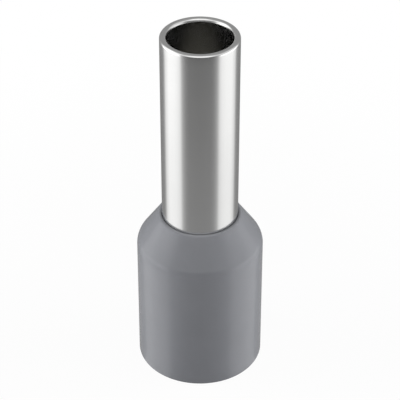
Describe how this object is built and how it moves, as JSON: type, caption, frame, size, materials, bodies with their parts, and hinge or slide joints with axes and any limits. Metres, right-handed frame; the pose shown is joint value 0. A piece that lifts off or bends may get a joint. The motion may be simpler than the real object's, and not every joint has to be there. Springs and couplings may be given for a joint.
{
  "type": "wire ferrule",
  "caption": "Insulated end sleeve for stranded wire: a tinned tube with a flared wire end, held in a round plastic collar.",
  "frame": {"origin": "on the ferrule's axis, in the plane of the collar's rim at the wire entry, on which it stands", "axes": "+Z along the axis from the wire entry to the tip; X and Y are any two directions across it"},
  "size_m": [0.0058, 0.0058, 0.0168],
  "materials": {
    "tin_plating": "bright tin plating on drawn copper, with fine lengthways drawing lines",
    "grey_plastic": "moulded polypropylene with a soft satin sheen, coloured through"
  },
  "bodies": {
    "root": {"tinned_sleeve": "tin_plating", "insulating_collar": "grey_plastic"}
  },
  "joints": []
}
